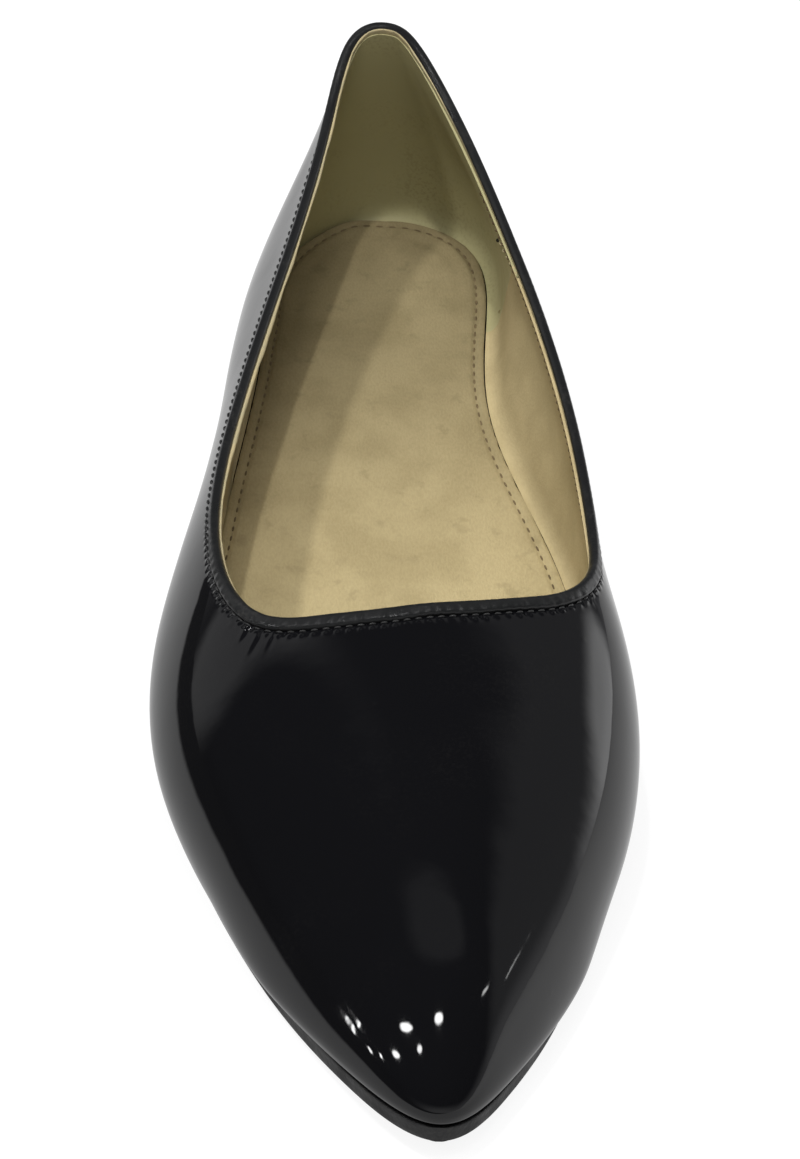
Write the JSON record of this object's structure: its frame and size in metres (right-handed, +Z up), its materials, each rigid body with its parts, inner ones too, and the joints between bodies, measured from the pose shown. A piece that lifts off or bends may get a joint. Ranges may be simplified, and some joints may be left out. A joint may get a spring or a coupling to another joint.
{
  "type": "ballet flat",
  "caption": "Pointed ballet flat for the right foot: glossy black patent upper with a bound topline, suede insole, thin arched sole and low heel block.",
  "frame": {"origin": "on the floor, under the middle of the shoe's bounding box", "axes": "+Z up; the toe points to -Y and the heel to +Y; the inner side of the foot is at +X"},
  "size_m": [0.0879, 0.2562, 0.064],
  "materials": {
    "patent_leather": "black patent leather, mirror gloss",
    "binding_patent": "black patent strip, folded and stitched, satin gloss",
    "suede_sock": "beige suede, matt, lightly worn",
    "outsole_rubber": "black rubber, satin edge",
    "heel_rubber": "black rubber, satin"
  },
  "bodies": {
    "root": {"upper": "patent_leather", "topline_binding": "binding_patent", "insole": "suede_sock", "outsole": "outsole_rubber", "heel": "heel_rubber"}
  },
  "joints": []
}
